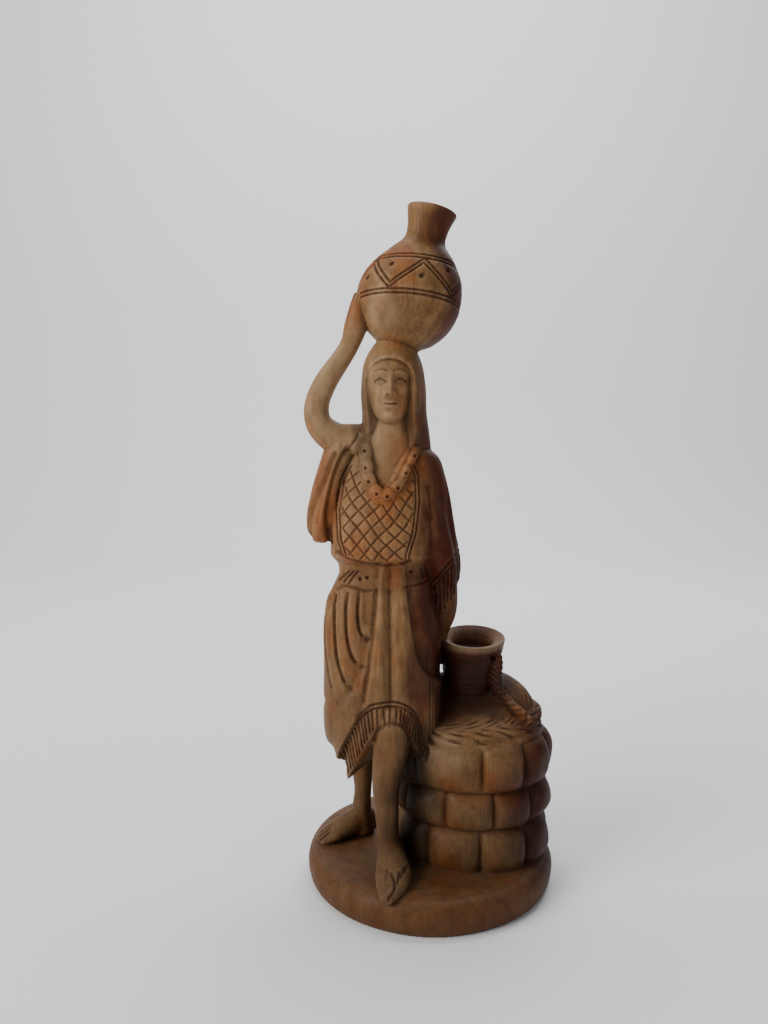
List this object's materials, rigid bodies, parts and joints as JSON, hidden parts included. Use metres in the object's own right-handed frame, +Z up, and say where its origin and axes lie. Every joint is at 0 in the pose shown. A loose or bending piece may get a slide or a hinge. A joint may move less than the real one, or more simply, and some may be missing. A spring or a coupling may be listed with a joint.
{
  "type": "carved wooden statue",
  "caption": "Carved olive wood figure of a veiled water carrier with a jar on the head, standing beside a stone well with a bucket, on a round foot.",
  "frame": {"origin": "middle of the flat underside of the round foot", "axes": "+Z up, the figure faces -Y, the well is on its +X side"},
  "size_m": [0.1106, 0.1106, 0.2969],
  "materials": {
    "wood": "oiled and worn satin, dark stain in the cuts"
  },
  "bodies": {
    "root": {"statue": "wood"}
  },
  "joints": []
}
